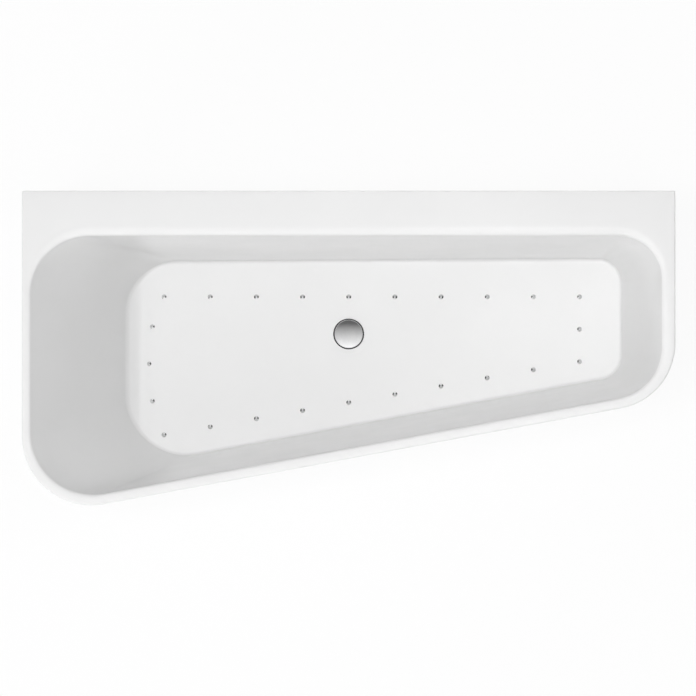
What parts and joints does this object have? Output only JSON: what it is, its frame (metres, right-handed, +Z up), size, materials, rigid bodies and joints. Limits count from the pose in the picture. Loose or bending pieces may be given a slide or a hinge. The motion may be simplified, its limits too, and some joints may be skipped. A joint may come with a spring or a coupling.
{
  "type": "jetted bathtub",
  "caption": "White back-to-wall bath with a slanted front, sloped backrest, floor air jets, chrome drain, apron, base frame on levelling feet and a blower.",
  "frame": {"origin": "on the floor, under the middle of the rim's outline", "axes": "+X along the bath towards its narrow end, +Y towards the wall behind it, +Z up"},
  "size_m": [1.6, 0.77, 0.58],
  "materials": {
    "acrylic": "gloss",
    "chrome": "polished",
    "frame_steel": "satin",
    "zinc_steel": "satin",
    "rotor_metal": "satin",
    "motor_paint": "satin",
    "black_plastic": "matte",
    "board": "matte",
    "white_pipe": "satin",
    "rubber": "matte",
    "grey_plastic": "matte",
    "circuit": "satin",
    "lead": "matte"
  },
  "bodies": {
    "bath": {"air_ring": "white_pipe", "apron_brackets": "frame_steel", "apron_panel": "acrylic", "back_rail": "frame_steel", "blower_base": "black_plastic", "blower_bushes": "rubber", "blower_coupling": "rubber", "blower_cover": "black_plastic", "blower_screws": "zinc_steel", "blower_tray": "frame_steel", "control_board": "circuit", "control_box": "grey_plastic", "control_lid": "grey_plastic", "cover_screws": "zinc_steel", "cross_member_narrow": "frame_steel", "cross_member_wide": "frame_steel", "drain_flange": "chrome", "drain_lower_gasket": "rubber", "drain_upper_gasket": "rubber", "feed_pipe_lower": "white_pipe", "feed_pipe_upper": "white_pipe", "floor_board": "board", "foot_nuts": "zinc_steel", "front_rail": "frame_steel", "jet_nozzles": "chrome", "jet_nuts": "white_pipe", "jet_seals": "rubber", "lead_grommets": "black_plastic", "lid_screws": "zinc_steel", "motor_bearings": "zinc_steel", "motor_case": "motor_paint", "motor_lead": "lead", "motor_stator": "zinc_steel", "outlet_pipe": "white_pipe", "pipe_hangers": "black_plastic", "ring_end_plugs": "white_pipe", "trap_cup": "white_pipe", "trap_nut": "white_pipe", "tub_shell": "acrylic", "tube_end_caps": "black_plastic", "valve_body": "white_pipe", "valve_cap": "white_pipe", "wall_brackets": "zinc_steel", "waste_body": "white_pipe"},
    "drain_plug": {"drain_cap": "chrome", "drain_cap_seal": "rubber", "drain_stem": "zinc_steel"},
    "valve_flap": {"valve_disc": "rubber"},
    "blower_rotor": {"impeller": "black_plastic", "blower_shaft": "zinc_steel", "motor_rotor": "rotor_metal"},
    "foot_wide_back": {"foot_spindle_wide_back": "zinc_steel", "foot_pad_wide_back": "black_plastic"},
    "foot_wide_front": {"foot_spindle_wide_front": "zinc_steel", "foot_pad_wide_front": "black_plastic"},
    "foot_narrow_back": {"foot_spindle_narrow_back": "zinc_steel", "foot_pad_narrow_back": "black_plastic"},
    "foot_narrow_front": {"foot_spindle_narrow_front": "zinc_steel", "foot_pad_narrow_front": "black_plastic"}
  },
  "joints": [
    {"name": "drain_plug_lift", "type": "slide", "parent": "bath", "child": "drain_plug", "axis": [0, 0, 1], "range_m": [0, 0.008]},
    {"name": "valve_lift", "type": "slide", "parent": "bath", "child": "valve_flap", "axis": [0, 0, 1], "range_m": [0, 0.01]},
    {"name": "impeller_spin", "type": "hinge", "parent": "bath", "child": "blower_rotor", "pos_m": [-0.7, -0.066, 0.15], "axis": [0, 0, 1], "continuous": true},
    {"name": "foot_level_wide_back", "type": "slide", "parent": "bath", "child": "foot_wide_back", "axis": [0, 0, 1], "range_m": [-0.015, 0.015]},
    {"name": "foot_level_wide_front", "type": "slide", "parent": "bath", "child": "foot_wide_front", "axis": [0, 0, 1], "range_m": [-0.015, 0.015]},
    {"name": "foot_level_narrow_back", "type": "slide", "parent": "bath", "child": "foot_narrow_back", "axis": [0, 0, 1], "range_m": [-0.015, 0.015]},
    {"name": "foot_level_narrow_front", "type": "slide", "parent": "bath", "child": "foot_narrow_front", "axis": [0, 0, 1], "range_m": [-0.015, 0.015]}
  ]
}
